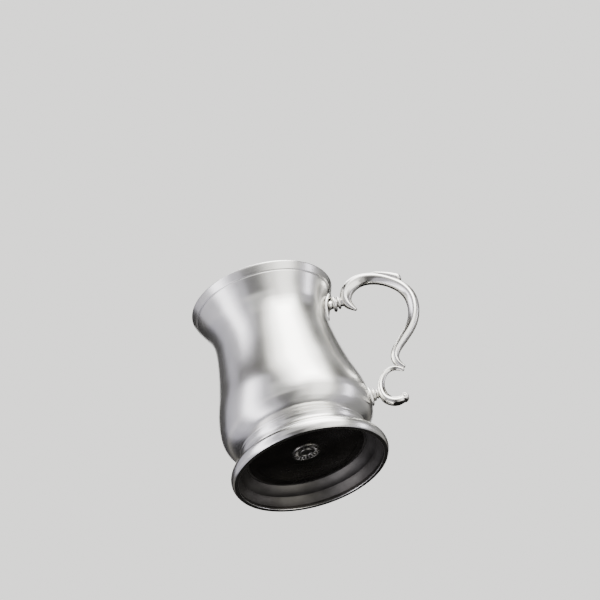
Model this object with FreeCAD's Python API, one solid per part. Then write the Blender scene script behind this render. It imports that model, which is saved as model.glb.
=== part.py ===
import FreeCAD, Part
import math
import os

# Pewter tankard, one imperial pint: waisted ("tulip") body on a moulded foot, with a double-scroll handle.
# Millimetres. +Z is up. The origin is on the cup's axis, at the plane the foot stands on.
# The handle lies in the XZ plane, on the +X side, so the tankard is symmetric about Y = 0.

V = FreeCAD.Vector

# --- driving dimensions -------------------------------------------------------------------------------
HEIGHT = 128.0            # overall height, foot to lip
WALL = 1.7                # wall of the cup
SEAM_Z = 36.9             # the belly's widest circle, where the two halves of the body are soldered
NECK_Z = 20.9             # where the body sits on the foot
LIP_R = 46.3              # outer radius at the lip
RIM_LINE_Z = 122.2        # turned line below the lip
RIM_LINE_R = 0.30         # radius of that line's groove
RIM_LINE_AT = 44.15       # how far that line lies from the axis

PLATE_LOW_Z = 13.0        # underside of the base plate, recessed inside the foot
PLATE_TOP_Z = 14.8
PLATE_R = 36.9            # base plate's edge, let into the foot's neck

# cup's outer outline, (height, radius), from the neck up to just under the lip
BODY_LOW = [(NECK_Z, 40.1), (23.5, 43.4), (27.65, 46.7), (32.0, 48.4)]
BODY_SEAM = (SEAM_Z, 48.9)
BODY_HIGH = [(42.5, 48.55), (48.1, 47.7), (61.4, 44.3), (74.75, 41.15), (88.1, 38.75), (100.4, 37.6),
             (110.6, 39.0), (119.3, 43.0), (127.0, LIP_R)]

# handle's centre line: (x, z, thickness across the scroll in its own plane)
UPPER_SCROLL = [(56.3, 104.2, 2.2), (53.9, 107.4, 4.6), (52.3, 111.8, 6.9), (53.5, 116.9, 8.1),
                (57.9, 121.5, 8.6), (64.4, 123.7, 8.1), (71.2, 123.0, 7.6), (77.5, 120.4, 7.3),
                (83.4, 116.2, 7.2), (88.6, 110.6, 7.5), (91.6, 104.5, 7.9), (92.4, 97.5, 7.9),
                (91.1, 90.0, 7.4), (87.9, 83.2, 6.9), (82.6, 76.8, 6.5), (77.3, 71.6, 6.1),
                (73.2, 67.1, 5.6), (71.0, 62.3, 5.4), (71.6, 57.4, 5.0), (74.6, 53.9, 1.6)]
LOWER_SCROLL = [(73.2, 51.9, 2.2), (69.5, 54.1, 3.0), (65.8, 54.4, 3.0), (61.8, 52.5, 3.4),
                (58.9, 49.0, 3.9), (57.1, 44.8, 4.6), (56.5, 40.3, 5.5), (57.4, 35.8, 6.1),
                (60.6, 32.3, 6.0), (64.9, 31.1, 5.7), (68.0, 31.6, 5.0)]
WIDTH_RATIO = 1.12        # handle's width across, over its thickness
KNOB = (69.0, 32.0, 2.75)  # end of the lower scroll: x, z, radius
LEAF_WIDTH = 7.0

# the two struts that carry the handle, turned about X: heights, and plates on the body
UPPER_STRUT_Z = 112.0
LOWER_STRUT_Z = 39.7
UPPER_PLATE = (110.8, 9.8, 5.6)  # height of its middle, half height, half width
LOWER_PLATE = (39.2, 6.8, 5.2)
PLATE_PROUD = 1.5         # how far a plate stands off the body


# --- helpers ------------------------------------------------------------------------------------------
def on_profile(z, r):
    """A point of a turned outline, in the XZ plane."""
    return V(r, 0, z)


def spline(points, start=None, end=None):
    """An interpolated curve through points, with tangents at its ends where they are given."""
    curve = Part.BSplineCurve()
    if start is None:
        curve.interpolate(points)
    else:
        curve.interpolate(Points=points, InitialTangent=start, FinalTangent=end)
    return curve


def turned(edges):
    """The solid that a closed outline of edges makes when it is turned about Z."""
    wire = Part.Wire(Part.__sortEdges__(edges))
    solid = Part.Face(wire).revolve(V(0, 0, 0), V(0, 0, 1), 360)
    return Part.Solid(solid) if solid.ShapeType != "Solid" else solid


def line(a, b):
    return Part.LineSegment(a, b).toShape()


def arc(a, b, c):
    return Part.Arc(a, b, c).toShape()


def offset_inward(curve, distance, count):
    """Points at a distance inside a turned outline that runs upward."""
    points = []
    for i in range(count + 1):
        u = curve.FirstParameter + (curve.LastParameter - curve.FirstParameter) * i / count
        along = curve.tangent(u)[0]
        points.append(curve.value(u) + V(-along.z, 0, along.x) * distance)
    return points


def chain(points, bulge):
    """Edges through points, each one bent by its bulge (0 is straight, + bends away from the axis)."""
    edges = []
    for a, b, h in zip(points[:-1], points[1:], bulge):
        if h == 0:
            edges.append(line(a, b))
        else:
            side = (b - a).cross(V(0, 1, 0)).normalize()
            edges.append(arc(a, (a + b) * 0.5 + side * h, b))
    return edges


def export(shape, node):
    """Write one named part."""
    solids = shape.Solids
    body = solids[0] if len(solids) == 1 else max(solids, key=lambda s: s.Volume)
    if not body.isValid():
        body.fix(1e-4, 1e-4, 1e-4)
    body.exportStep("parts/" + node + ".step")
    box = body.BoundBox
    print("%-18s solids %d valid %s vol %.1f  x %.1f..%.1f y %.1f..%.1f z %.1f..%.1f"
          % (node, len(solids), body.isValid(), body.Volume,
             box.XMin, box.XMax, box.YMin, box.YMax, box.ZMin, box.ZMax))
    return body


# --- the cup ------------------------------------------------------------------------------------------
def body_curves():
    """Outer outlines of the bowl and the barrel, both vertical where they meet at the seam."""
    up = V(0, 0, 1)
    low = [on_profile(z, r) for z, r in BODY_LOW + [BODY_SEAM]]
    high = [on_profile(z, r) for z, r in [BODY_SEAM] + BODY_HIGH]
    bowl = spline(low, V(1.15, 0, 1).normalize(), up)
    barrel = spline(high, up, V(0.36, 0, 1).normalize())
    return bowl, barrel


def barrel_solid(outer):
    """Upper casting, from the seam to the lip, with a rounded lip edge and one turned line."""
    inner = spline(offset_inward(outer, WALL, 24))
    first, last = outer.value(outer.FirstParameter), outer.value(outer.LastParameter)
    low, high = inner.value(inner.FirstParameter), inner.value(inner.LastParameter)
    crown = V((last.x + high.x) / 2 + 0.2, 0, HEIGHT)
    solid = turned([outer.toShape(), arc(last, crown, high), inner.toShape(), line(low, first)])
    groove = Part.makeTorus(RIM_LINE_AT, RIM_LINE_R, V(0, 0, RIM_LINE_Z))
    return solid.cut(groove)


def bowl_solid(outer):
    """Lower casting, from the seam down to the neck that stands on the foot."""
    inner = spline(offset_inward(outer, WALL, 12)[1:])
    first, last = outer.value(outer.FirstParameter), outer.value(outer.LastParameter)
    low, high = inner.value(inner.FirstParameter), inner.value(inner.LastParameter)
    foot_in = V(PLATE_R, 0, NECK_Z)
    return turned([outer.toShape(), line(last, high), inner.toShape(), line(low, foot_in),
                   line(foot_in, first)])


def body_envelope(bowl, barrel, proud):
    """The filled body, this much bigger all round: used to shape what is fitted against it."""
    points = offset_inward(bowl, -proud, 12) + offset_inward(barrel, -proud, 24)[1:]
    curve = spline(points)
    a, b = curve.value(curve.FirstParameter), curve.value(curve.LastParameter)
    edges = [curve.toShape(), line(b, V(0, 0, b.z)), line(V(0, 0, b.z), V(0, 0, a.z)),
             line(V(0, 0, a.z), a)]
    return turned(edges)


# --- the foot -----------------------------------------------------------------------------------------
def foot_solid():
    """Spreading foot ring: two fine beads at the neck, a cove, a step, and a stout rounded edge."""
    outside = [(NECK_Z, 40.1), (19.7, 40.3), (19.3, 39.9), (18.4, 39.9), (12.4, 42.0), (12.0, 42.9),
               (10.4, 44.0), (9.9, 44.1), (7.0, 49.6), (2.1, 50.4), (0.0, 49.2)]
    bulge = [0.75, 0, 0.35, -1.55, 0, 0.45, 0, -0.55, 0.55, 0.15]
    inside = [(0.0, 46.9), (2.4, 46.6), (7.4, 43.6), (PLATE_LOW_Z, 38.6), (PLATE_LOW_Z, PLATE_R),
              (NECK_Z, PLATE_R)]
    out_points = [on_profile(z, r) for z, r in outside]
    in_points = [on_profile(z, r) for z, r in inside]
    edges = chain(out_points, bulge)
    edges.append(line(out_points[-1], in_points[0]))
    edges += chain(in_points, [0.2, 0.25, 0.5, 0, 0])
    edges.append(line(in_points[-1], out_points[0]))
    return turned(edges)


def base_plate_solid():
    """Disc that closes the cup, soldered into the neck of the foot."""
    return Part.makeCylinder(PLATE_R, PLATE_TOP_Z - PLATE_LOW_Z, V(0, 0, PLATE_LOW_Z))


def medallion_solid():
    """Plain round mark under the base plate: a ring, a wreath of leaves and a domed boss."""
    disc_r, ring_r, boss_r, wreath_r, leaves = 9.5, 8.9, 2.6, 6.3, 18
    low = PLATE_LOW_Z - 0.35
    shape = Part.makeCylinder(disc_r, 0.35, V(0, 0, low))
    shape = shape.fuse(Part.makeTorus(ring_r, 0.4, V(0, 0, low)).common(
        Part.makeCylinder(disc_r, 1.0, V(0, 0, low - 0.6))))
    shape = shape.fuse(Part.makeSphere(6.0, V(0, 0, low + 5.3)).common(
        Part.makeCylinder(boss_r, 2.0, V(0, 0, low - 1.5))))
    leaf = Part.makeSphere(1.0).transformGeometry(
        FreeCAD.Matrix(2.1, 0, 0, 0, 0, 0.75, 0, 0, 0, 0, 0.55, 0, 0, 0, 0, 1))
    leaf.rotate(V(0, 0, 0), V(0, 0, 1), 32)
    leaf.translate(V(wreath_r, 0, low))
    lower_half = Part.makeCylinder(disc_r, 1.2, V(0, 0, low - 1.0))
    leaf = leaf.common(lower_half)
    for i in range(leaves):
        one = leaf.copy()
        one.rotate(V(0, 0, 0), V(0, 0, 1), 360.0 * i / leaves)
        shape = shape.fuse(one)
    return shape


# --- the handle ---------------------------------------------------------------------------------------
def section_wire(centre, outward, size):
    """One closed section of a scroll: a full outer roll that narrows to the inner edge."""
    half = size * 0.5
    wide = half * WIDTH_RATIO
    shape = [(1.0, 0.0), (0.84, 0.52), (0.42, 0.88), (-0.06, 1.0), (-0.52, 0.82), (-0.88, 0.45)]
    outline = shape + [(-1.0, 0.0)] + [(u, -v) for u, v in reversed(shape[1:])]
    points = [centre + outward * (u * half) + V(0, v * wide, 0) for u, v in outline]
    curve = Part.BSplineCurve()
    curve.interpolate(Points=points, PeriodicFlag=True)
    return Part.Wire([curve.toShape()])


def scroll_solid(path, side, count):
    """A scroll swept along its centre line, with sections between the stated ones."""
    line_points = [V(x, 0, z) for x, z, size in path]
    curve = spline(line_points)
    knots = [curve.parameter(p) for p in line_points]
    wires = []
    for i in range(count + 1):
        u = curve.FirstParameter + (curve.LastParameter - curve.FirstParameter) * i / count
        k = max(j for j in range(len(knots)) if knots[j] <= u + 1e-9)
        k = min(k, len(knots) - 2)
        t = (u - knots[k]) / (knots[k + 1] - knots[k])
        t = t * t * (3 - 2 * t)
        size = path[k][2] * (1 - t) + path[k + 1][2] * t
        along = curve.tangent(u)[0]
        outward = V(-along.z, 0, along.x) * side
        wires.append(section_wire(curve.value(u), outward, size))
    return Part.makeLoft(wires, True, False, False, 5)


def leaf_solid():
    """Thumb rest: a short leaf that runs on from the top of the scroll to a rounded tip."""
    top = [V(70.5, 0, 125.4), V(76.0, 0, 124.7), V(82.0, 0, 122.2), V(87.6, 0, 119.3)]
    tip = V(90.2, 0, 117.0)
    low = V(89.6, 0, 113.2)
    heel = V(80.0, 0, 117.0)
    edges = [spline(top).toShape(), arc(top[-1], tip, low), line(low, heel), line(heel, top[0])]
    face = Part.Face(Part.Wire(edges))
    slab = face.extrude(V(0, LEAF_WIDTH, 0))
    slab.translate(V(0, -LEAF_WIDTH / 2, 0))
    return slab


def turned_about_x(profile, z):
    """A strut turned about X at height z. profile is (x, radius) from the body outwards."""
    points = [V(x, 0, z + r) for x, r in profile]
    base = [V(profile[-1][0], 0, z), V(profile[0][0], 0, z)]
    wire = Part.makePolygon(points + base + [points[0]])
    return Part.Face(wire).revolve(V(0, 0, z), V(1, 0, 0), 360)


def ring_about_x(x, z, radius, half_width, core):
    """A collar round a strut: a rounded ring with a hole for the strut's core."""
    inner, outer = V(x - half_width, 0, z + core), V(x + half_width, 0, z + core)
    a, b = V(x - half_width, 0, z + radius * 0.86), V(x + half_width, 0, z + radius * 0.86)
    edges = [line(inner, a), arc(a, V(x, 0, z + radius), b), line(b, outer), line(outer, inner)]
    return Part.Face(Part.Wire(edges)).revolve(V(0, 0, z), V(1, 0, 0), 360)


def boss_plate(place, x_far, filled, grown):
    """Oval plate soldered on the body, its back fitted to the body's curve."""
    z, high, wide = place
    oval = Part.Ellipse(V(0, 0, 0), high, wide).toShape()
    prism = Part.Face(Part.Wire([oval])).extrude(V(0, 0, 40))
    prism.rotate(V(0, 0, 0), V(0, 1, 0), 90)
    prism.translate(V(x_far - 40, 0, z))
    return prism.common(grown).cut(filled)


# --- build --------------------------------------------------------------------------------------------
def main():
    os.makedirs("parts", exist_ok=True)
    bowl_curve, barrel_curve = body_curves()
    filled = body_envelope(bowl_curve, barrel_curve, 0.0)
    grown = body_envelope(bowl_curve, barrel_curve, PLATE_PROUD)

    export(barrel_solid(barrel_curve), "barrel")
    export(bowl_solid(bowl_curve), "bowl")
    export(foot_solid(), "foot_ring")
    export(base_plate_solid(), "base_plate")
    export(medallion_solid(), "base_medallion")

    upper = export(scroll_solid(UPPER_SCROLL, 1, 46), "handle_scroll")
    lower_raw = scroll_solid(LOWER_SCROLL, -1, 26)
    knob_x, knob_z, knob_r = KNOB
    knob = Part.makeSphere(knob_r, V(knob_x, 0, knob_z))
    lower = export(lower_raw.cut(upper), "lower_scroll")
    export(knob.cut(lower), "scroll_knob")
    export(leaf_solid().cut(upper), "thumb_leaf")

    for name, z, plate, core, collar_a, collar_b, x_plate, scroll in (
            ("upper", UPPER_STRUT_Z, UPPER_PLATE, 3.0, (44.6, 5.0, 1.05), (47.1, 4.3, 0.8), 46.0, upper),
            ("lower", LOWER_STRUT_Z, LOWER_PLATE, 2.4, (51.4, 3.8, 0.8), (53.2, 3.3, 0.55), 53.0, lower)):
        fitted = export(boss_plate(plate, x_plate, filled, grown), name + "_plate")
        ring_a = export(ring_about_x(collar_a[0], z, collar_a[1], collar_a[2], core), name + "_collar")
        ring_b = export(ring_about_x(collar_b[0], z, collar_b[1], collar_b[2], core), name + "_bead")
        start, stop = collar_a[0] - 8.0, collar_b[0] + 6.0
        rod = turned_about_x([(start, core), (collar_b[0] + 0.8, core), (stop, core * 1.35)], z)
        rod = rod.cut(filled).cut(fitted).cut(scroll)
        rod = min([s for s in rod.Solids if s.Volume > 5], key=lambda s: s.BoundBox.XMin)
        export(rod.cut(ring_a).cut(ring_b), name + "_strut")


main()
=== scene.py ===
"""Pewter tankard: a turned, waisted body on a moulded foot, with a cast double-scroll handle.

Sizes are in millimetres in the dataclasses and become metres when a mesh is made.
"""

import bpy
import bmesh
import logging
import math
from collections.abc import Callable, Sequence
from dataclasses import dataclass, field
from enum import Enum
from mathutils import Matrix, Vector

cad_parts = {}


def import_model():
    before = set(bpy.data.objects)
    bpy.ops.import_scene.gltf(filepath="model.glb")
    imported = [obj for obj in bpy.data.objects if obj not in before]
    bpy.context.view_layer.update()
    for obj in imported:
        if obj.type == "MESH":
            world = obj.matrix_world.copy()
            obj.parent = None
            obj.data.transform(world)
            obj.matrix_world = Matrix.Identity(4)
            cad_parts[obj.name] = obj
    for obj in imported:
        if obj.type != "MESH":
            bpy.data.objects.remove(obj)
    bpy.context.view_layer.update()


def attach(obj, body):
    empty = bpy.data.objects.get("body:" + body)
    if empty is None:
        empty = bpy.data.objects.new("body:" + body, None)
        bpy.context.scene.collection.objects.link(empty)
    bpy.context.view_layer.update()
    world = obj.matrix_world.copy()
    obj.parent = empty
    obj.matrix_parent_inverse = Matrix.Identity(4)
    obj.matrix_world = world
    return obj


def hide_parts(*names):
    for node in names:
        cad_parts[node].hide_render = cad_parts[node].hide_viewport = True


MM = 0.001
TINY = 1e-6
CREASE_DEG = 38.0        # faces that meet more sharply than this are shaded as an edge
STRAIGHT_ENOUGH = 0.93   # cosine of a corner's turn; above it the corner is left alone
EASING_STEPS = 5         # points along a rounded corner, less one
Row = tuple[float, ...]
Tree = bpy.types.NodeTree
Socket = bpy.types.NodeSocket
Thing = bpy.types.Object
log = logging.getLogger("tankard")


# --- curves and meshes ------------------------------------------------------
class FairCurve:
    """A natural cubic spline through rows of numbers; the first two numbers set the spacing."""

    def __init__(self, rows: Sequence[Row]) -> None:
        """Solves the spline.

        Args:
            rows: Points in order, each with any further values that run along with it.
        """
        self.rows = [tuple(map(float, row)) for row in rows]
        self.knots = [0.0]
        for a, b in zip(self.rows[:-1], self.rows[1:]):
            self.knots.append(self.knots[-1] + math.dist(a[:2], b[:2]))
        self.bends = [self._solve(list(column)) for column in zip(*self.rows)]

    def _solve(self, values: list[float]) -> list[float]:
        """Second derivatives of one value at the knots.

        Args:
            values: The value at each knot.

        Returns:
            One second derivative per knot, zero at both ends.
        """
        n = len(values)
        h = [b - a for a, b in zip(self.knots[:-1], self.knots[1:])]
        diag, rhs = [1.0] + [0.0] * (n - 1), [0.0] * n
        upper = [0.0] * n
        for i in range(1, n - 1):
            slope = (values[i + 1] - values[i]) / h[i] - (values[i] - values[i - 1]) / h[i - 1]
            lead = h[i - 1]
            diag[i] = 2 * (h[i - 1] + h[i]) - lead * upper[i - 1]
            upper[i] = h[i] / diag[i]
            rhs[i] = (6 * slope - lead * rhs[i - 1]) / diag[i]
        bends = [0.0] * n
        for i in range(n - 2, 0, -1):
            bends[i] = rhs[i] - upper[i] * bends[i + 1]
        return bends

    @property
    def length(self) -> float:
        """The last knot."""
        return self.knots[-1]

    def at(self, u: float) -> Row:
        """The row at a distance along the curve.

        Args:
            u: Distance from the start, in the rows' own unit.

        Returns:
            The interpolated row.
        """
        i = max(0, min(len(self.knots) - 2, sum(k <= u for k in self.knots) - 1))
        h = self.knots[i + 1] - self.knots[i]
        a, b = (self.knots[i + 1] - u) / h, (u - self.knots[i]) / h
        out = []
        for k, m in enumerate(self.bends):
            flat = a * self.rows[i][k] + b * self.rows[i + 1][k]
            out.append(flat + ((a**3 - a) * m[i] + (b**3 - b) * m[i + 1]) * h * h / 6)
        return tuple(out)

    def heading(self, u: float) -> tuple[float, float]:
        """Unit direction of travel in the curve's plane, at a distance along it."""
        step = self.length * 1e-4
        a, b = self.at(max(0.0, u - step)), self.at(min(self.length, u + step))
        d = math.dist(a[:2], b[:2])
        return (b[0] - a[0]) / d, (b[1] - a[1]) / d

    def sampled(self, count: int) -> list[Row]:
        """Rows at count + 1 even distances."""
        return [self.at(self.length * i / count) for i in range(count + 1)]


def circle(count: int) -> list[float]:
    """Even angles round one full turn."""
    return [2 * math.pi * k / count for k in range(count)]


def bulged(points: Sequence[Row], bulges: Sequence[float], pitch: float = 0.22) -> list[Row]:
    """Joins outline points with straight runs and shallow arcs.

    Args:
        points: (radius, height) corners in order.
        bulges: One sagitta per run, positive to the right of travel; 0 is a straight run.
        pitch: Longest step along an arc.

    Returns:
        The outline's points.
    """
    out = [tuple(points[0])]
    for (ax, ay), (bx, by), sag in zip(points[:-1], points[1:], bulges):
        chord = math.dist((ax, ay), (bx, by))
        steps = max(1, math.ceil(chord / pitch)) if sag else 1
        nx, ny = (by - ay) / chord, (ax - bx) / chord
        for i in range(1, steps + 1):
            t = i / steps
            lift = sag * 4 * t * (1 - t)
            out.append((ax + (bx - ax) * t + nx * lift, ay + (by - ay) * t + ny * lift))
    return out


def eased(outline: Sequence[Row], radius: float) -> list[Row]:
    """Rounds every sharp corner of a closed outline with a small polished radius.

    Args:
        outline: (radius, height) points.
        radius: How far back from a corner the rounding starts.

    Returns:
        The outline with its corners rounded.
    """
    n = len(outline)
    out: list[Row] = []
    for i, p in enumerate(outline):
        a, b = outline[i - 1], outline[(i + 1) % n]
        da, db = math.dist(a, p), math.dist(p, b)
        if da < TINY or db < TINY:
            continue
        turn = ((p[0] - a[0]) * (b[0] - p[0]) + (p[1] - a[1]) * (b[1] - p[1])) / (da * db)
        if turn > STRAIGHT_ENOUGH:
            out.append(tuple(p))
            continue
        ra, rb = min(radius, da * 0.45), min(radius, db * 0.45)
        start = [p[k] + (a[k] - p[k]) * ra / da for k in (0, 1)]
        stop = [p[k] + (b[k] - p[k]) * rb / db for k in (0, 1)]
        for step in range(EASING_STEPS + 1):
            t = step / EASING_STEPS
            out.append(tuple(start[k] * (1 - t) ** 2 + 2 * p[k] * t * (1 - t) + stop[k] * t * t
                             for k in (0, 1)))
    return out


def show(thing: Thing) -> Thing:
    """Puts an object in the scene and returns it."""
    bpy.context.scene.collection.objects.link(thing)
    return thing


class Sculptor:
    """Collects rings of points in millimetres and joins them into one closed mesh."""

    def __init__(self) -> None:
        """Starts empty."""
        self.points: list[Row] = []
        self.hollow: list[float] = []
        self.faces: list[tuple[int, ...]] = []

    def ring(self, points: Sequence[Row], hollow: Sequence[float] | None = None) -> list[int]:
        """Adds points and returns their indices.

        Args:
            points: Points of one ring.
            hollow: How deep in a groove each point lies, 0 to 1.

        Returns:
            The indices of the new points.
        """
        start = len(self.points)
        self.points += [tuple(p) for p in points]
        self.hollow += list(hollow) if hollow else [0.0] * len(points)
        return list(range(start, len(self.points)))

    def join(self, a: list[int], b: list[int]) -> None:
        """Quads between two closed rings of the same length."""
        n = len(a)
        self.faces += [(a[i], a[(i + 1) % n], b[(i + 1) % n], b[i]) for i in range(n)]

    def join_all(self, rings: Sequence[list[int]]) -> None:
        """Quads from each ring to the next."""
        for a, b in zip(rings[:-1], rings[1:]):
            self.join(a, b)

    def grow(self, last: list[int], ring: list[int], tip: Row) -> list[int]:
        """Joins a ring to the last one; the first ring is closed with a tip instead."""
        if last:
            self.join(last, ring)
        else:
            self.close(ring, tip)
        return ring

    def close(self, ring: list[int], tip: Row) -> None:
        """A fan from a ring to one tip."""
        (centre,) = self.ring([tip])
        n = len(ring)
        self.faces += [(ring[i], ring[(i + 1) % n], centre) for i in range(n)]

    def piece(self, name: str) -> Thing:
        """Makes the object, with its faces outward and smooth.

        Args:
            name: The piece's name.

        Returns:
            The new object, at the origin.
        """
        mesh = bpy.data.meshes.new(name)
        mesh.from_pydata([tuple(c * MM for c in p) for p in self.points], [], self.faces)
        depth = mesh.attributes.new("hollow", "FLOAT", "POINT")
        depth.data.foreach_set("value", self.hollow)
        work = bmesh.new()
        work.from_mesh(mesh)
        bmesh.ops.recalc_face_normals(work, faces=work.faces)
        work.to_mesh(mesh)
        work.free()
        mesh.polygons.foreach_set("use_smooth", [True] * len(mesh.polygons))
        mesh.set_sharp_from_angle(angle=math.radians(CREASE_DEG))
        return show(bpy.data.objects.new(name, mesh))


def turned(name: str, outline: Sequence[Row], segments: int, axis_x: float | None = None,
           hollow: Callable[[Row], float] | None = None) -> Thing:
    """Turns an outline into a solid of revolution.

    Args:
        name: The piece's name.
        outline: (radius, height) points. One that starts and ends on the axis gets poles; any other
            is a closed loop.
        segments: Facets round the axis.
        axis_x: None to turn about Z; otherwise the outline is (radius, x) and turns about the X
            axis at this height.
        hollow: Gives a point's groove depth.

    Returns:
        The new object.
    """
    maker = Sculptor()

    def place(r: float, h: float, a: float) -> Row:
        """One point of the turned surface."""
        if axis_x is None:
            return r * math.cos(a), r * math.sin(a), h
        return h, r * math.cos(a), axis_x + r * math.sin(a)

    poles = outline[0][0] < TINY and outline[-1][0] < TINY
    body = outline[1:-1] if poles else outline
    rings = []
    for r, h in body:
        depth = hollow((r, h)) if hollow else 0.0
        spots = [place(r, h, a) for a in circle(segments)]
        rings.append(maker.ring(spots, [depth] * segments))
    maker.join_all(rings)
    if poles:
        maker.close(rings[0], place(0, outline[0][1], 0))
        maker.close(rings[-1], place(0, outline[-1][1], 0))
    else:
        maker.join(rings[-1], rings[0])
    return maker.piece(name)


# --- finishes ---------------------------------------------------------------
def linear(code: str) -> Row:
    """Turns an sRGB hex colour into linear RGBA.

    Args:
        code: Six hex digits.

    Returns:
        Linear red, green, blue and alpha.
    """
    parts = [int(code[i:i + 2], 16) / 255 for i in (0, 2, 4)]
    flat = (c / 12.92 if c <= 0.04045 else ((c + 0.055) / 1.055) ** 2.4 for c in parts)
    return (*flat, 1.0)


def add(tree: Tree, kind: str, settings: dict[str, object] | None = None,
        links: dict[str | int, object] | None = None) -> bpy.types.Node:
    """Adds one node.

    Args:
        tree: The node tree.
        kind: The node's type name.
        settings: Properties of the node by name, or values of its input sockets by name or number.
        links: Output sockets to join to its inputs, by the input's name or number.

    Returns:
        The new node.
    """
    node = tree.nodes.new(kind)
    for key, value in (settings or {}).items():
        if isinstance(key, str) and hasattr(node, key):
            setattr(node, key, value)
        else:
            node.inputs[key].default_value = value
    for key, source in (links or {}).items():
        tree.links.new(source, node.inputs[key])
    return node


def reckon(tree: Tree, operation: str, *terms: Socket | float) -> Socket:
    """Adds one sum.

    Args:
        tree: The node tree.
        operation: What to do with the terms.
        terms: Sockets or plain numbers, in order.

    Returns:
        The result.
    """
    given = {k: term for k, term in enumerate(terms) if isinstance(term, Socket)}
    fixed = {k: term for k, term in enumerate(terms) if k not in given}
    return add(tree, "ShaderNodeMath", {"operation": operation, **fixed}, given).outputs[0]


def ramp(tree: Tree, source: Socket, *stops: tuple[float, str]) -> Socket:
    """Adds a colour ramp.

    Args:
        tree: The node tree.
        source: What the ramp reads.
        stops: Places and hex colours: the lowest, the highest, then any between.

    Returns:
        The colour.
    """
    node = add(tree, "ShaderNodeValToRGB", {}, {0: source})
    marks = node.color_ramp.elements
    for mark, (place, code) in zip((marks[0], marks[1]), stops):
        mark.position, mark.color = place, linear(code)
    for place, code in stops[2:]:
        marks.new(place).color = linear(code)
    return node.outputs[0]


class Lathe(Enum):
    """How a surface was cut, which sets the direction of its fine lines."""

    SPUN = "round the cup's axis"
    FACED = "in circles on a flat face"
    CAST = "no lines"


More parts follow.
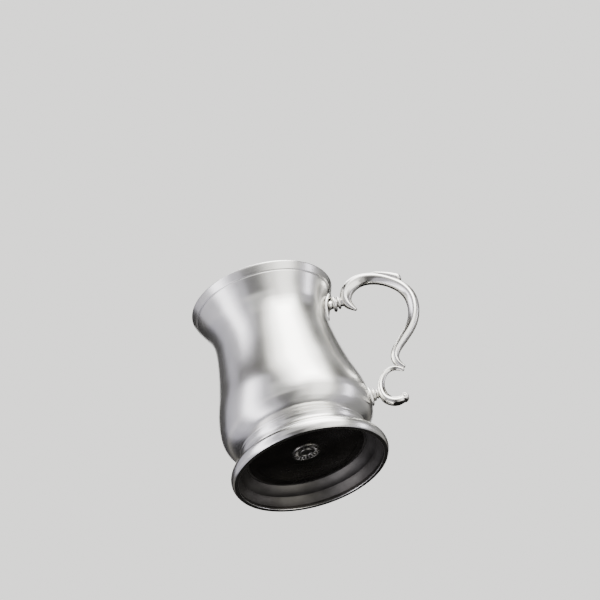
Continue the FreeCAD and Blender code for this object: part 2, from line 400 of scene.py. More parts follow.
@dataclass(frozen=True)
class Pewter:
    """One pewter finish, and the marks that its making leaves."""

    name: str
    slot: str
    bright: str
    dull: str
    smooth: float
    rough: float
    line_mm: float
    line_depth_mm: float
    oxide: str = "4A4845"
    grain: float = 0.0
    lathe: Lathe = Lathe.CAST
    cloud_mm: float = 26.0
    ripple_mm: float = 7.0
    ripple_depth_mm: float = 0.05

    def material(self) -> bpy.types.Material:
        """Builds the node material.

        Returns:
            The material, or the one made before with this name.
        """
        made = bpy.data.materials.get(self.name)
        if made:
            return made
        made = bpy.data.materials.new(self.name)
        made.use_nodes = True
        tree = made.node_tree
        tree.nodes.clear()
        where = add(tree, "ShaderNodeTexCoord").outputs["Object"]
        cloud = add(tree, "ShaderNodeTexNoise", {"Scale": 1000 / self.cloud_mm, "Detail": 4.0,
                                                 "Roughness": 0.55}, {"Vector": where}).outputs[0]
        depth = add(tree, "ShaderNodeAttribute", {"attribute_name": "hollow"}).outputs["Fac"]
        colour = self._colour(tree, cloud, depth)
        lines = self._lines(tree, where)
        shader = add(tree, "ShaderNodeBsdfPrincipled",
                     {"Metallic": 1.0, "Anisotropic": self.grain},
                     {"Base Color": colour, "Roughness": self._roughness(tree, cloud, lines, depth),
                      "Normal": self._relief(tree, where, lines)})
        if self.lathe is not Lathe.CAST:
            round_z = add(tree, "ShaderNodeTangent", {"direction_type": "RADIAL", "axis": "Z"})
            tree.links.new(round_z.outputs[0], shader.inputs["Tangent"])
        add(tree, "ShaderNodeOutputMaterial", {}, {"Surface": shader.outputs[0]})
        return made

    def _colour(self, tree: Tree, cloud: Socket, depth: Socket) -> Socket:
        """Clouded metal, with oxide left in the grooves.

        Args:
            tree: The material's tree.
            cloud: Slow variation, 0 to 1.
            depth: Groove depth, 0 to 1.

        Returns:
            The colour.
        """
        tone = ramp(tree, cloud, (0.36, self.dull), (0.66, self.bright))
        worn = reckon(tree, "MULTIPLY", depth, 0.75)
        mixed = add(tree, "ShaderNodeMix", {"data_type": "RGBA"}, {0: worn, 6: tone})
        mixed.inputs[7].default_value = linear(self.oxide)
        return mixed.outputs[2]

    def _roughness(self, tree: Tree, cloud: Socket, lines: Socket, depth: Socket) -> Socket:
        """Roughness: smooth where buffed, rougher along the lines and in the grooves.

        Args:
            tree: The material's tree.
            cloud: Slow variation, 0 to 1.
            lines: Fine lines, 0 to 1.
            depth: Groove depth, 0 to 1.

        Returns:
            The roughness.
        """
        slow = reckon(tree, "MULTIPLY_ADD", cloud, 0.65, 0.0)
        sheen = reckon(tree, "MULTIPLY_ADD", lines, 0.35, slow)
        spread = add(tree, "ShaderNodeMapRange",
                     {"From Min": 0.3, "From Max": 0.75, "To Min": self.smooth,
                      "To Max": self.rough}, {"Value": sheen}).outputs[0]
        return reckon(tree, "MULTIPLY_ADD", depth, 0.35, spread)

    def _relief(self, tree: Tree, where: Socket, lines: Socket) -> Socket:
        """The slight waviness of the metal, with the fine lines on top.

        Args:
            tree: The material's tree.
            where: Object coordinates.
            lines: Fine lines, 0 to 1.

        Returns:
            The normal.
        """
        ripple = add(tree, "ShaderNodeTexNoise", {"Scale": 1000 / self.ripple_mm, "Detail": 0.0},
                     {"Vector": where}).outputs[0]
        wave = add(tree, "ShaderNodeBump", {"Strength": 1.0, "Distance": self.ripple_depth_mm * MM},
                   {"Height": ripple}).outputs[0]
        return add(tree, "ShaderNodeBump",
                   {"Strength": 1.0, "Distance": self.line_depth_mm * MM},
                   {"Height": lines, "Normal": wave}).outputs[0]

    def _lines(self, tree: Tree, where: Socket) -> Socket:
        """Fine lines of the lathe, or of polishing, as a height from 0 to 1.

        Args:
            tree: The material's tree.
            where: Object coordinates.

        Returns:
            The socket that gives the height.
        """
        if self.lathe is Lathe.CAST:
            return add(tree, "ShaderNodeTexNoise", {"Scale": 1000 / self.line_mm, "Detail": 0.0},
                       {"Vector": where}).outputs[0]
        split = add(tree, "ShaderNodeSeparateXYZ", {}, {0: where}).outputs
        square = [reckon(tree, "MULTIPLY", split[axis], split[axis]) for axis in "XY"]
        radius = reckon(tree, "SQRT", reckon(tree, "ADD", *square))
        turn = reckon(tree, "ARCTAN2", split["Y"], split["X"])
        drift = reckon(tree, "MULTIPLY", turn, 0.004)
        across = radius if self.lathe is Lathe.FACED else split["Z"]
        place = add(tree, "ShaderNodeCombineXYZ", {}, {"X": across, "Y": drift})
        return add(tree, "ShaderNodeTexNoise",
                   {"Scale": 1000 / self.line_mm, "Detail": 3.0, "Roughness": 0.6},
                   {"Vector": place.outputs[0]}).outputs[0]


# Spun and burnished pewter: a soft satin that stretches highlights up and down the cup, across
# the fine lines the lathe leaves round it.
SATIN_PEWTER = Pewter(
    "satin_spun_pewter", "body_satin", bright="E2E1DE", dull="D6D5D1", smooth=0.20, rough=0.26,
    grain=0.5, lathe=Lathe.SPUN, line_mm=1.3, line_depth_mm=0.0005, ripple_mm=22.0,
    ripple_depth_mm=0.02)
# The inside is left as the lathe cut it: greyer, with plainer lines.
INSIDE_PEWTER = Pewter(
    "turned_pewter_inside", "body_satin", bright="C9C7C2", dull="ADAAA4", smooth=0.30, rough=0.44,
    grain=0.5, lathe=Lathe.SPUN, line_mm=1.6, line_depth_mm=0.008)
# The foot is turned and buffed brighter than the cup, so its mouldings show crisp light and dark
# rings.
BUFFED_PEWTER = Pewter(
    "buffed_turned_pewter", "foot_polish", bright="E3E2DF", dull="D8D7D3", smooth=0.18, rough=0.26,
    grain=0.3, lathe=Lathe.SPUN, line_mm=1.0, line_depth_mm=0.0004, ripple_mm=18.0,
    ripple_depth_mm=0.01)
# Nobody buffs inside the foot: it stays dull, as it came off the lathe.
# Its dark colour is painted shade, for the recess that little light reaches.
SHADED_SKIRT_PEWTER = Pewter(
    "skirt_pewter_painted_shade", "foot_polish", bright="5A5855", dull="413F3C", smooth=0.36,
    rough=0.50, grain=0.4, lathe=Lathe.SPUN, line_mm=1.4, line_depth_mm=0.003)
# The base is faced in circles, which fans its highlight out from the middle.
FACED_SHADED_PEWTER = Pewter(
    # Its darker colour is painted shade: the base sits recessed, where little light reaches.
    "faced_base_pewter_painted_shade", "base_polish", bright="8C8A86", dull="6F6D69", smooth=0.20, rough=0.32,
    grain=0.6, lathe=Lathe.FACED, line_mm=1.2, line_depth_mm=0.004)
# The struck mark, with its raised leaves, is darker all over: painted shade, as on the recessed
# base.
STRUCK_SHADED_PEWTER = Pewter(
    "struck_mark_pewter_painted_shade", "base_polish", bright="A5A39E", dull="6B6964", smooth=0.22, rough=0.36,
    line_mm=1.2, line_depth_mm=0.006, cloud_mm=4.0)
# The handle is cast and hand-buffed: near-mirror, a little wavy, darker in its grooves.
CAST_PEWTER = Pewter(
    "buffed_cast_pewter", "handle_polish", bright="E4E3E0", dull="D8D6D1", smooth=0.15, rough=0.21,
    line_mm=5.0, line_depth_mm=0.001, ripple_mm=14.0, ripple_depth_mm=0.03)


def dress(piece: Thing, finish: Pewter, *nodes: str) -> Thing:
    """Gives a piece its finish and ties it to the frame.

    Args:
        piece: The finished mesh.
        finish: Its pewter finish.
        nodes: The CAD nodes it stands for.

    Returns:
        The same piece.
    """
    piece.data.materials.clear()
    piece.data.materials.append(finish.material())
    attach(piece, "root")
    if nodes:
        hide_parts(*nodes)
    log.info("%s: %d faces, %s", piece.name, len(piece.data.polygons), finish.name)
    return piece


def faces_axis(centre: Vector, normal: Vector) -> bool:
    """Tells whether a face looks towards the cup's axis."""
    return centre.x * normal.x + centre.y * normal.y < 0


# --- the cup ----------------------------------------------------------------
@dataclass
class Cup:
    """The waisted body: a barrel and a bowl, soldered together at the belly's widest circle."""

    height: float = 128.0
    wall: float = 1.7
    seam: float = 36.9
    neck: float = 20.9
    floor_radius: float = 36.9
    wall_top: float = 127.0         # where the wall ends and the rounded lip begins
    rim_line: float = 122.2         # height of the turned line
    rim_line_depth: float = 0.25
    rim_line_width: float = 0.42
    rim_step: float = 0.16          # how far the band over the line stands proud
    rim_zone: float = 1.4           # how far from the line the wall is finely divided
    rim_outside: float = 43.2       # farther out than this, near the line, is the outer face
    outline: list[Row] = field(default_factory=lambda: [
        (40.1, 20.9), (43.4, 23.5), (46.7, 27.65), (48.4, 32.0), (48.9, 36.9), (48.55, 42.5),
        (47.7, 48.1), (44.3, 61.4), (41.15, 74.75), (38.75, 88.1), (37.6, 100.4), (39.0, 110.6),
        (43.0, 119.3), (46.3, 127.0)])

    def __post_init__(self) -> None:
        """Fairs the outline."""
        self.curve = FairCurve(self.outline)

    def radius_at(self, z: float) -> float:
        """The body's outer radius at a height."""
        low, high = 0.0, self.curve.length
        for _ in range(40):
            mid = (low + high) / 2
            low, high = (mid, high) if self.curve.at(mid)[1] < z else (low, mid)
        return self.curve.at(low)[0]

    def _skin(self, low: float, high: float, depth: float, count: int) -> list[Row]:
        """Points of the outline between two heights, set in by a depth."""
        out = []
        for i in range(count + 1):
            z = low + (high - low) * i / count
            r, above = self.radius_at(z), min(z + 0.05, self.wall_top)
            slope = (self.radius_at(above) - self.radius_at(z - 0.05)) / (above - z + 0.05)
            lean = math.hypot(1, slope)
            out.append((r - depth / lean, z + depth * slope / lean))
        return out

    def _line_cut(self, z: float) -> float:
        """How deep the turned line cuts at a height."""
        return self.rim_line_depth * math.exp(-((z - self.rim_line) / self.rim_line_width) ** 2)

    def build_barrel(self) -> Thing:
        """Makes the upper wall, with its turned line and rounded lip."""
        line, zone = self.rim_line, self.rim_zone
        plain = [((r + self.rim_step if z > line else r) - self._line_cut(z), z)
                 for r, z in self._skin(self.seam, self.wall_top, 0.0, 150) if abs(z - line) > zone]
        close = [(r + self.rim_step / (1 + math.exp(-(z - line) / 0.12)) - self._line_cut(z), z)
                 for r, z in self._skin(line - zone, line + zone, 0.0, 28)]
        outer = sorted(plain + close, key=lambda p: p[1])
        inner = self._skin(self.seam, self.wall_top, self.wall, 110)
        (ro, zo), (ri, zi) = outer[-1], inner[-1]
        lip = bulged([(ro, zo), (ro - 0.75, self.height), (ri, zi)], [0.32, 0.12], 0.1)[1:-1]

        def tarnish(point: Row) -> float:
            """How much oxide the turned line holds."""
            outside = point[0] > self.rim_outside
            return 0.35 * math.exp(-((point[1] - line) / 0.3) ** 2) * outside

        return turned("barrel_wall", outer + lip + inner[::-1], 256, hollow=tarnish)

    def build_bowl(self) -> Thing:
        """Makes the lower wall, from the seam down to the neck."""
        outer = self._skin(self.neck, self.seam, 0.0, 60)
        inner = [p for p in self._skin(self.neck, self.seam, self.wall, 50)
                 if p[1] > self.neck + 0.1]
        return turned("bowl_wall", outer + inner[::-1] + [(self.floor_radius, self.neck)], 256)

    def make(self) -> None:
        """Builds and dresses both walls, with the inside in its own finish."""
        for piece, node in ((self.build_barrel(), "barrel"), (self.build_bowl(), "bowl")):
            dress(piece, SATIN_PEWTER, node)
            piece.data.materials.append(INSIDE_PEWTER.material())
            for face in piece.data.polygons:
                c, n = face.center, face.normal
                if faces_axis(c, n) and c.z < (self.height - 0.6) * MM:
                    face.material_index = 1


# --- the foot ---------------------------------------------------------------
@dataclass
class Foot:
    """The moulded foot ring, the recessed base plate and the struck mark under it."""

    neck: float = 20.9
    bore: float = 36.9
    plate_low: float = 13.0
    plate_top: float = 14.8
    dish: float = 0.5          # how far the plate's middle is raised
    skirt_edge: float = 46.8   # inside this radius the ring gets the dark skirt finish: painted shade
    leaves: int = 18

    def build_ring(self) -> Thing:
        """Makes the ring: two fine beads, a cove, a step and a stout rounded edge."""
        outside = bulged([(40.1, 20.9), (40.3, 19.7), (39.9, 19.3), (39.9, 18.4), (42.0, 12.4),
                          (42.9, 12.0), (44.0, 10.4), (44.1, 9.9), (49.6, 7.0), (50.4, 2.1),
                          (49.2, 0.0)], [-0.75, 0, -0.35, 1.55, 0, -0.45, 0, 0.55, -0.55, -0.15])
        inside = bulged([(46.9, 0.0), (46.6, 2.4), (43.6, 7.4), (38.6, self.plate_low),
                         (self.bore, self.plate_low), (self.bore, self.neck)],
                        [-0.2, -0.25, -0.5, 0, 0])
        return turned("foot_moulding", eased(outside + inside, 0.3), 280)

    def build_plate(self) -> Thing:
        """Makes the disc that closes the cup, a touch dished, with a turned ring near its edge."""
        under = []
        for i in range(61):
            r = self.bore * i / 60
            rings = (0.18 * math.exp(-((r - 33.0) / 0.5) ** 2)
                     + 0.12 * math.exp(-((r - 14.0) / 0.4) ** 2))
            under.append((r, self.plate_low + self.dish * (1 - (r / self.bore) ** 2) - rings))
        over = [(self.bore * i / 40, self.plate_top + 0.15 * (i / 40) ** 6)
                for i in range(40, -1, -1)]
        return turned("base_disc", under + over, 192)

    def build_mark(self) -> Thing:
        """Makes the round mark's ground, its border and its domed boss."""
        low = self.plate_low + 0.46
        face = low - 0.25
        under = bulged([(0, face - 0.75), (2.5, face - 0.1), (2.9, face), (3.6, face), (4.1, face),
                        (8.1, face), (8.3, face), (9.1, face), (9.45, face + 0.1),
                        (9.45, low + 0.3)], [0.18, 0, 0, 0.28, 0, 0, 0.42, 0, 0], 0.12)
        return turned("struck_mark", under + [(0.0, low + 0.3)], 96)

    def leaf_tree(self) -> Tree:
        """Builds the tree that sets leaves in a ring.

        Returns:
            A Geometry Nodes tree with named inputs for its sizes.
        """
        tree = bpy.data.node_groups.new("leaf_wreath", "GeometryNodeTree")
        face = tree.interface
        face.new_socket("Geometry", in_out="OUTPUT", socket_type="NodeSocketGeometry")
        for name, kind, value in (("Leaves", "NodeSocketInt", self.leaves),
                                  ("Wreath Radius", "NodeSocketFloat", 0.0062),
                                  ("Leaf Length", "NodeSocketFloat", 0.0042),
                                  ("Leaf Width", "NodeSocketFloat", 0.0014),
                                  ("Leaf Height", "NodeSocketFloat", 0.0011),
                                  ("Slant", "NodeSocketFloat", 0.6),
                                  ("Level", "NodeSocketFloat", 0.0132)):
            face.new_socket(name, in_out="INPUT", socket_type=kind).default_value = value
        face.new_socket("Finish", in_out="INPUT", socket_type="NodeSocketMaterial")
        given = add(tree, "NodeGroupInput").outputs
        leaf = add(tree, "GeometryNodeMeshUVSphere",
                   {"Segments": 12, "Rings": 6, "Radius": 0.5}).outputs[0]
        size = add(tree, "ShaderNodeCombineXYZ", {},
                   {"X": given["Leaf Length"], "Y": given["Leaf Width"],
                    "Z": given["Leaf Height"]}).outputs[0]
        lean = add(tree, "ShaderNodeCombineXYZ", {}, {"Z": given["Slant"]}).outputs[0]
        sized = add(tree, "GeometryNodeTransform", {}, {"Geometry": leaf, "Scale": size}).outputs[0]
        slanted = add(tree, "GeometryNodeTransform", {},
                      {"Geometry": sized, "Rotation": lean}).outputs[0]
        ring = add(tree, "GeometryNodeCurvePrimitiveCircle", {},
                   {"Radius": given["Wreath Radius"], "Resolution": given["Leaves"]}).outputs[0]
        spots = add(tree, "GeometryNodeCurveToPoints", {"mode": "EVALUATED"}, {0: ring})
        placed = add(tree, "GeometryNodeInstanceOnPoints", {}, {
            "Points": spots.outputs["Points"], "Instance": slanted,
            "Rotation": spots.outputs["Rotation"]}).outputs[0]
        lift = add(tree, "ShaderNodeCombineXYZ", {}, {"Z": given["Level"]}).outputs[0]
        raised = add(tree, "GeometryNodeTransform", {},
                     {"Geometry": placed, "Translation": lift}).outputs[0]
        real = add(tree, "GeometryNodeRealizeInstances", {}, {0: raised}).outputs[0]
        dressed = add(tree, "GeometryNodeSetMaterial", {},
                      {"Geometry": real, "Material": given["Finish"]})
        add(tree, "NodeGroupOutput", {}, {0: dressed.outputs[0]})
        return tree

    def build_wreath(self) -> Thing:
        """Makes the wreath of raised leaves from its tree, as a plain mesh."""
        seed = show(bpy.data.objects.new("wreath_seed", bpy.data.meshes.new("wreath_seed")))
        tree = self.leaf_tree()
        live = seed.modifiers.new("wreath", "NODES")
        live.node_group = tree
        sizes = {"Leaves": self.leaves, "Level": (self.plate_low + 0.2) * MM,
                 "Finish": STRUCK_SHADED_PEWTER.material()}
        for item in tree.interface.items_tree:
            if item.in_out == "INPUT" and item.name in sizes:
                live[item.identifier] = sizes[item.name]
        bpy.context.view_layer.update()
        view = bpy.context.evaluated_depsgraph_get()
        shape = bpy.data.meshes.new_from_object(seed.evaluated_get(view))
        seed.modifiers.remove(live)
        bpy.data.objects.remove(seed)
        shape.polygons.foreach_set("use_smooth", [True] * len(shape.polygons))
        return show(bpy.data.objects.new("mark_wreath", shape))

    def make(self) -> None:
        """Builds and dresses the foot's pieces."""
        ring = dress(self.build_ring(), BUFFED_PEWTER, "foot_ring")
        ring.data.materials.append(SHADED_SKIRT_PEWTER.material())
        # faces looking in, inside skirt_edge, take the dark skirt finish: painted shade
        for face in ring.data.polygons:
            c, n = face.center, face.normal
            if faces_axis(c, n) and math.hypot(c.x, c.y) < self.skirt_edge * MM:
                face.material_index = 1
        dress(self.build_plate(), FACED_SHADED_PEWTER, "base_plate")
        dress(self.build_mark(), STRUCK_SHADED_PEWTER, "base_medallion")
        dress(self.build_wreath(), STRUCK_SHADED_PEWTER, "base_medallion")


# --- the handle -------------------------------------------------------------
@dataclass
class Handle:
    """The cast handle: a large scroll, a C scroll below it, a thumb leaf and a volute end."""

    width_ratio: float = 1.12
    knob: Row = (69.0, 32.0, 2.75)  # the lower scroll's rounded end: x, z, radius
    upper: list[Row] = field(default_factory=lambda: [
        (56.3, 104.2, 2.2), (53.9, 107.4, 4.6), (52.3, 111.8, 6.9), (53.5, 116.9, 8.1),
        (57.9, 121.5, 8.6), (64.4, 123.7, 8.1), (71.2, 123.0, 7.6), (77.5, 120.4, 7.3),
        (83.4, 116.2, 7.2), (88.6, 110.6, 7.5), (91.6, 104.5, 7.9), (92.4, 97.5, 7.9),
        (91.1, 90.0, 7.4), (87.9, 83.2, 6.9), (82.6, 76.8, 6.5), (77.3, 71.6, 6.1),
        (73.2, 67.1, 5.6), (71.0, 62.3, 5.4), (71.6, 57.4, 4.6), (74.4, 54.1, 2.4)])
    lower: list[Row] = field(default_factory=lambda: [
        (73.2, 51.9, 2.2), (69.5, 54.1, 3.0), (65.8, 54.4, 3.0), (61.8, 52.5, 3.4),
        (58.9, 49.0, 3.9), (57.1, 44.8, 4.6), (56.5, 40.3, 5.5), (57.4, 35.8, 6.1),
        (60.6, 32.3, 6.0), (64.9, 31.1, 5.7), (68.0, 31.6, 5.0)])
    # half of the moulded section, from the back, over the side roll, to the inner ridge:
    # out, across, groove depth
    section: list[Row] = field(default_factory=lambda: [
        (1.0, 0.0, 0), (0.985, 0.25, 0), (0.93, 0.48, 0), (0.83, 0.67, 0), (0.70, 0.80, 0.03),
        (0.58, 0.87, 0.15), (0.45, 0.95, 0.03), (0.26, 1.01, 0), (0.04, 1.0, 0), (-0.18, 0.92, 0),
        (-0.38, 0.80, 0), (-0.57, 0.67, 0), (-0.74, 0.54, 0), (-0.88, 0.38, 0), (-0.97, 0.19, 0),
        (-1.0, 0.0, 0)])
    facets: int = 88

    def __post_init__(self) -> None:
        """Mirrors the section and fairs it into one closed loop."""
        full = self.section + [(u, -v, g) for u, v, g in reversed(self.section[1:-1])]
        lap = 4
        curve = FairCurve(full[-lap:] + full + full[:lap + 1])
        start, stop = curve.knots[lap], curve.knots[lap + len(full)]
        self.loop = [curve.at(start + (stop - start) * k / self.facets) for k in range(self.facets)]

    def sweep(self, name: str, path: Sequence[Row], side: float, count: int) -> Thing:
        """Carries the section along a centre line.

        Args:
            name: The piece's name.
            path: (x, z, thickness) rows.
            side: 1 where the outside is to the left of travel, -1 where it is to the right.
            count: Sections along the line.

        Returns:
            The closed scroll.
        """
        maker = Sculptor()
        curve = FairCurve(path)
        # each stand: distance along the line, push past its end, share of the full size
        turns = [math.pi / 2 * k / 8 for k in range(7, 0, -1)]
        domes = [(math.sin(t), math.cos(t)) for t in turns]
        stands = [(0.0, -push, share) for push, share in domes]
        stands += [(curve.length * i / count, 0.0, 1.0) for i in range(count + 1)]
        stands += [(curve.length, push, share) for push, share in reversed(domes)]
        last: list[int] = []
        for u, push, share in stands:
            x, z, size = curve.at(u)
            tx, tz = curve.heading(u)
            ox, oz = -tz * side, tx * side
            half = size / 2
            x, z = x + tx * push * half, z + tz * push * half
            spots = [(x + ox * a * half * share, b * half * self.width_ratio * share,
                      z + oz * a * half * share) for a, b, _ in self.loop]
            ring = maker.ring(spots, [g * share for _, _, g in self.loop])
            last = maker.grow(last, ring, (x - tx * half * 0.02, 0, z - tz * half * 0.02))
        maker.close(last, (x + tx * half * 0.02, 0, z + tz * half * 0.02))
        return maker.piece(name)

    def build_volute(self) -> Thing:
        """Makes the rounded end of the lower scroll, with a small turned eye on each side."""
        x, z, r = self.knob
        half = [(0.0, 3.35), (0.55, 3.3), (0.85, 3.05), (1.0, 2.85), (1.25, 2.85), (1.5, 2.95),
                (2.1, 2.7), (2.55, 1.9), (r, 0.9), (r, 0.0)]
        outline = half + [(a, -b) for a, b in reversed(half[:-1])]
        maker = Sculptor()
        fair = FairCurve(outline).sampled(60)
        rings = [maker.ring([(x + radius * math.cos(t), y, z + radius * math.sin(t))
                             for t in circle(64)]) for radius, y in fair[1:-1]]
        maker.join_all(rings)
        maker.close(rings[0], (x, outline[0][1], z))
        maker.close(rings[-1], (x, outline[-1][1], z))
        return maker.piece("volute_end")

    def build_leaf(self) -> Thing:
        """Makes the thumb leaf: it rises from the arch and ends in a small rolled tip."""
        # along the leaf: x, z, half thickness, half width
        path = FairCurve([(69.5, 126.0, 0.7, 2.2), (74.0, 125.3, 1.2, 3.2), (79.0, 123.3, 1.6, 3.7),
                          (84.0, 120.8, 2.0, 3.8), (87.4, 118.7, 2.2, 3.6), (88.9, 117.6, 2.0, 3.2),
                          (89.7, 116.9, 1.3, 2.3)])
        maker = Sculptor()
        last: list[int] = []
        for i in range(61):
            u = path.length * i / 60
            x, z, thick, wide = path.at(u)
            tx, tz = path.heading(u)
            spots, deep = [], []
            for a in circle(36):
                ca, sa = math.cos(a), math.sin(a)
                up = math.copysign(abs(sa) ** 0.7, sa) * thick
                across = math.copysign(abs(ca) ** 0.75, ca) * wide
                vein = 0.22 * thick * math.exp(-(across / 0.7) ** 2) if sa > 0 else 0.0
                spots.append((x - tz * (up - vein), across, z + tx * (up - vein)))
                deep.append(0.6 * math.exp(-(across / 0.45) ** 2) if sa > 0 else 0.0)
            last = maker.grow(last, maker.ring(spots, deep), (x - tx * 0.5, 0, z - tz * 0.5))
        maker.close(last, (x + tx * 0.8, 0, z + tz * 0.8))
        return maker.piece("leaf_rest")

    def make(self) -> None:
        """Builds and dresses the handle's castings."""
        dress(self.sweep("large_scroll", self.upper, 1, 260), CAST_PEWTER, "handle_scroll")
        dress(self.sweep("small_scroll", self.lower, -1, 150), CAST_PEWTER, "lower_scroll")
        dress(self.build_volute(), CAST_PEWTER, "scroll_knob")
        dress(self.build_leaf(), CAST_PEWTER, "thumb_leaf")


class StrutEnd(Enum):
    """Which strut: the name of its nodes."""

    UPPER = "upper"
    LOWER = "lower"


@dataclass
class Strut:
    """A turned strut from an oval plate on the body to a scroll, along X.

    The collar and the bead are each a place along X, a radius and a half width.
    """

    end: StrutEnd
    height: float
    plate_at: float
    plate_high: float
    plate_wide: float
    core: float
    collar: tuple[float, float, float]
    bead: tuple[float, float, float]
    stop: float
    proud: float = 1.5
    taper: float = 0.18

    def build_plate(self, cup: Cup) -> Thing:
        """Makes the oval plate, fitted to the body and dished up to the strut.

        Args:
            cup: The cup that it lies on.

        Returns:
            The plate.
        """
        maker = Sculptor()
        rings = []
        steps = 26

        def lift(t: float) -> float:
            """The plate's height over the body, from its middle (0) to its edge (1)."""
            edge = 1 - max(0.0, (t - 0.86) / 0.14) ** 2
            swell = 0.95 * math.exp(-(t / 0.5) ** 2)
            return self.proud * math.sqrt(max(0.0, edge)) * (0.62 + 0.38 * (1 - t) ** 0.8) + swell

        levels = [(t / steps, lift(t / steps)) for t in range(1, steps + 1)]
        levels += [(0.985, -0.45), (0.6, -0.5), (0.2, -0.5)]
        for t, over in levels:
            spots = []
            for a in circle(72):
                y = self.plate_wide * t * math.cos(a) * (1 + self.taper * math.sin(a))
                z = self.plate_at + self.plate_high * t * math.sin(a)
                r = cup.radius_at(z)
                spots.append((math.sqrt(max(0.0, r * r - y * y)) + over, y, z))
            rings.append(maker.ring(spots))
        maker.join_all(rings)
        r = cup.radius_at(self.plate_at)
        maker.close(rings[0], (r + lift(0.0), 0, self.plate_at))
        maker.close(rings[-1], (r - 0.5, 0, self.plate_at))
        return maker.piece(f"{self.end.value}_boss")

    def build_ring(self, word: str, size: tuple[float, float, float]) -> Thing:
        """Makes one turned ring round the strut.

        Args:
            word: The ring's name.
            size: Its place along X, its radius and its half width.

        Returns:
            The ring.
        """
        x, radius, half = size
        core = self.core * 0.8
        loop = bulged([(core, x - half), (radius * 0.8, x - half), (radius * 0.8, x + half),
                       (core, x + half)], [0, radius * 0.2, 0], 0.08)
        return turned(f"{self.end.value}_{word}", eased(loop, 0.2), 96, axis_x=self.height)

    def build_core(self, cup: Cup) -> Thing:
        """Makes the strut's core, waisted between its rings and flared at both ends."""
        start = cup.radius_at(self.height) + 0.6
        (xa, _, _), (xb, _, _) = self.collar, self.bead
        rows = [(self.core * 1.3, start), (self.core * 1.02, start + 1.3), (self.core * 0.9, xa),
                (self.core * 0.82, (xa + xb) / 2), (self.core * 0.84, xb),
                (self.core * 0.95, (xb + self.stop) / 2), (self.core * 1.25, self.stop)]
        fair = FairCurve(rows).sampled(40)
        return turned(f"{self.end.value}_core", [(0.0, start)] + fair + [(0.0, self.stop)], 96,
                      axis_x=self.height)

    def make(self, cup: Cup) -> None:
        """Builds and dresses the strut's pieces."""
        name = self.end.value
        dress(self.build_plate(cup), CAST_PEWTER, f"{name}_plate")
        dress(self.build_ring("ring", self.collar), CAST_PEWTER, f"{name}_collar")
        dress(self.build_ring("small_ring", self.bead), CAST_PEWTER, f"{name}_bead")
        dress(self.build_core(cup), CAST_PEWTER, f"{name}_strut")


STRUTS = (
    Strut(StrutEnd.UPPER, height=112.0, plate_at=110.8, plate_high=9.8, plate_wide=5.6, core=3.0,
          collar=(44.3, 5.4, 1.3), bead=(47.2, 4.2, 1.1), stop=51.5),
    Strut(StrutEnd.LOWER, height=39.7, plate_at=39.2, plate_high=6.8, plate_wide=5.2, core=2.4,
          collar=(51.2, 4.1, 0.95), bead=(53.1, 3.2, 0.75), stop=55.6))


# --- the studio -------------------------------------------------------------
@dataclass
class Softbox:
    """One soft light: where it stands, how big it is and how bright its face is.

    Angles are in degrees round the object, from -Y towards +X; lengths are in metres.
    """

    name: str
    azimuth: float
    elevation: float
    distance: float
    width: float
    height: float
    glow: float
    tint: str = "FFFFFF"

    def make(self, aim: Vector) -> None:
        """Sets the light up, facing the object.

        Args:
            aim: The point that it faces.
        """
        data = bpy.data.lights.new(self.name, "AREA")
        data.shape, data.size, data.size_y = "RECTANGLE", self.width, self.height
        data.energy = self.glow * math.pi * self.width * self.height
        data.color = linear(self.tint)[:3]
        lamp = show(bpy.data.objects.new(self.name, data))
        a, e = math.radians(self.azimuth), math.radians(self.elevation)
        back = Vector((math.sin(a) * math.cos(e), -math.cos(a) * math.cos(e), math.sin(e)))
        lamp.location = aim + back * self.distance
        lamp.rotation_euler = back.to_track_quat("Z", "Y").to_euler()
        lamp.visible_camera = False


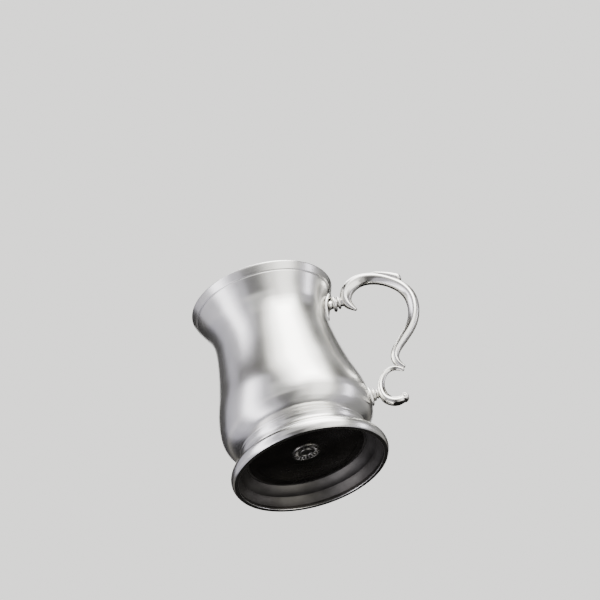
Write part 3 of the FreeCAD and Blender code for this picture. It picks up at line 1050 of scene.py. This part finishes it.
@dataclass
class Studio:
    """A pale floor that fades into a pale surround, and soft light. Lengths are in metres."""

    hole: float = 0.0455
    reach: float = 2.0
    fade: tuple[float, float] = (0.35, 1.1)
    seen_glow: float = 1.8
    lights: list[Softbox] = field(default_factory=lambda: [
        Softbox("left_wide", -60, -4, 1.30, 2.05, 4.0, 0.8, "F4F2FF"),
        Softbox("left_mid", -58, 0, 1.30, 0.80, 3.2, 1.6, "F6F4FF"),
        Softbox("left_core", -61, 0, 1.30, 0.42, 2.9, 2.9, "FAF9FF"),
        Softbox("left_far", -108, 2, 1.30, 0.52, 4.0, 0.75, "F0EEFF"),
        Softbox("right_wide", 40, -12, 1.30, 1.55, 3.0, 0.6, "FFFEFB"),
        Softbox("right_mid", 40, 4, 1.30, 1.10, 2.1, 1.3, "FFFEFB"),
        Softbox("right_core", 45, -6, 1.30, 0.60, 2.6, 1.6, "FFFEFB"),
        Softbox("over_wide", 34, 44, 1.30, 1.50, 1.50, 2.2, "FFFEFB"),
        Softbox("over_mid", 37, 48, 1.30, 1.05, 1.15, 4.0, "FFFEFB"),
        Softbox("over_core", 38, 52, 1.30, 0.55, 0.85, 5.5, "FFFEFB"),
        Softbox("side_wide", 86, -12, 1.35, 0.66, 2.4, 0.65, "F6F4FF"),
        Softbox("side_core", 88, -4, 1.35, 0.22, 0.9, 4.2, "F6F4FF"),
        Softbox("far_right", 117, 0, 1.40, 0.9, 3.2, 0.32),
        Softbox("front_low", -4, -6, 1.35, 1.2, 2.5, 0.14),
        Softbox("front_high", 0, 16, 1.35, 1.2, 1.1, 0.55),
        Softbox("top_panel", 130, 80, 1.30, 1.3, 0.9, 6.5),
        Softbox("back_panel", 176, 34, 1.40, 0.9, 1.4, 2.0)])

    def build_floor(self) -> None:
        """Makes the floor, open under the foot and solid only from above."""
        maker = Sculptor()
        spots = [(math.cos(t), math.sin(t)) for t in circle(96)]
        maker.join_all([maker.ring([(x * r / MM, y * r / MM, 0.0) for x, y in spots])
                        for r in (self.hole, 0.12, 0.5, self.reach)])
        floor = maker.piece("floor")
        if floor.data.polygons[0].normal.z < 0:
            floor.data.flip_normals()
        paint = bpy.data.materials.new("pale_floor_paint")
        paint.use_nodes = True
        tree = paint.node_tree
        tree.nodes.clear()
        where = add(tree, "ShaderNodeTexCoord").outputs["Object"]
        fleck = add(tree, "ShaderNodeTexNoise", {"Scale": 6.0, "Detail": 3.0},
                    {"Vector": where}).outputs[0]
        tone = ramp(tree, fleck, (0.0, "DAD8D4"), (1.0, "E2E0DC"))
        top = add(tree, "ShaderNodeBsdfPrincipled", {"Roughness": 0.75}, {"Base Color": tone})
        clear = add(tree, "ShaderNodeBsdfTransparent")
        side = add(tree, "ShaderNodeNewGeometry").outputs["Backfacing"]
        away = add(tree, "ShaderNodeVectorMath", {"operation": "LENGTH"},
                   {0: where}).outputs["Value"]
        fade = add(tree, "ShaderNodeMapRange",
                   {"interpolation_type": "SMOOTHSTEP", "From Min": self.fade[0],
                    "From Max": self.fade[1]}, {"Value": away}).outputs[0]
        gone = reckon(tree, "MAXIMUM", side, fade)
        both = add(tree, "ShaderNodeMixShader", {},
                   {0: gone, 1: top.outputs[0], 2: clear.outputs[0]})
        add(tree, "ShaderNodeOutputMaterial", {}, {"Surface": both.outputs[0]})
        floor.data.materials.append(paint)
        floor.visible_glossy = floor.visible_shadow = False

    def build_surround(self) -> None:
        """Sets the world: pale to the eye, dim grey in what the metal mirrors."""
        world = bpy.data.worlds.new("studio_surround")
        world.use_nodes = True
        bpy.context.scene.world = world
        world.cycles.sampling_method = "NONE"
        tree = world.node_tree
        tree.nodes.clear()
        seen = add(tree, "ShaderNodeBackground",
                   {"Color": linear("F2F1EE"), "Strength": self.seen_glow})
        where = add(tree, "ShaderNodeTexCoord").outputs["Generated"]
        up = add(tree, "ShaderNodeSeparateXYZ", {}, {0: where}).outputs["Z"]
        level = add(tree, "ShaderNodeMapRange", {"From Min": -1.0, "From Max": 1.0},
                    {0: up}).outputs[0]
        grey = ramp(tree, level, (0.40, "1E1D1C"), (0.95, "55534F"), (0.5, "8A8783"),
                    (0.60, "2C2B2A"))
        felt = add(tree, "ShaderNodeBackground", {"Strength": 1.0}, {"Color": grey})
        eye = add(tree, "ShaderNodeLightPath").outputs["Is Camera Ray"]
        both = add(tree, "ShaderNodeMixShader", {},
                   {0: eye, 1: felt.outputs[0], 2: seen.outputs[0]})
        add(tree, "ShaderNodeOutputWorld", {}, {"Surface": both.outputs[0]})

    def make(self, aim: Vector) -> None:
        """Builds the whole studio."""
        self.build_floor()
        self.build_surround()
        for light in self.lights:
            light.make(aim)
        log.info("studio: floor, surround and %d lights", len(self.lights))


@dataclass
class Viewpoint:
    """The camera: below and in front of the foot, rolled so that the cup leans to the left."""

    place: tuple[float, float, float] = (23.98, -1532.88, -826.03)
    sideways: tuple[float, float, float] = (0.9563, 0.1538, -0.2488)
    upward: tuple[float, float, float] = (0.2925, -0.5027, 0.8135)
    swing: float = -3.0
    lens: float = 168.0

    def make(self) -> None:
        """Sets the camera up."""
        data = bpy.data.cameras.new("main_camera")
        data.lens, data.sensor_width = self.lens, 36.0
        data.clip_start, data.clip_end = 0.1, 60.0
        camera = show(bpy.data.objects.new("main_camera", data))
        x, y = Vector(self.sideways).normalized(), Vector(self.upward).normalized()
        z = x.cross(y).normalized()
        turn = Matrix.Rotation(math.radians(self.swing), 4, "Z")
        stand = Matrix((x, z.cross(x), z)).transposed().to_4x4()
        stand.translation = Vector(self.place) * MM
        camera.matrix_world = turn @ stand
        bpy.context.scene.camera = camera


# --- build ------------------------------------------------------------------
def main() -> None:
    """Loads the frame and builds the tankard, piece by piece."""
    logging.basicConfig(level=logging.INFO, format="%(name)s %(message)s")
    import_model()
    cup = Cup()
    cup.make()
    Foot().make()
    Handle().make()
    for strut in STRUTS:
        strut.make(cup)
    Studio().make(Vector((0, 0, cup.height / 2 * MM)))
    Viewpoint().make()


if __name__ == "__main__":
    main()
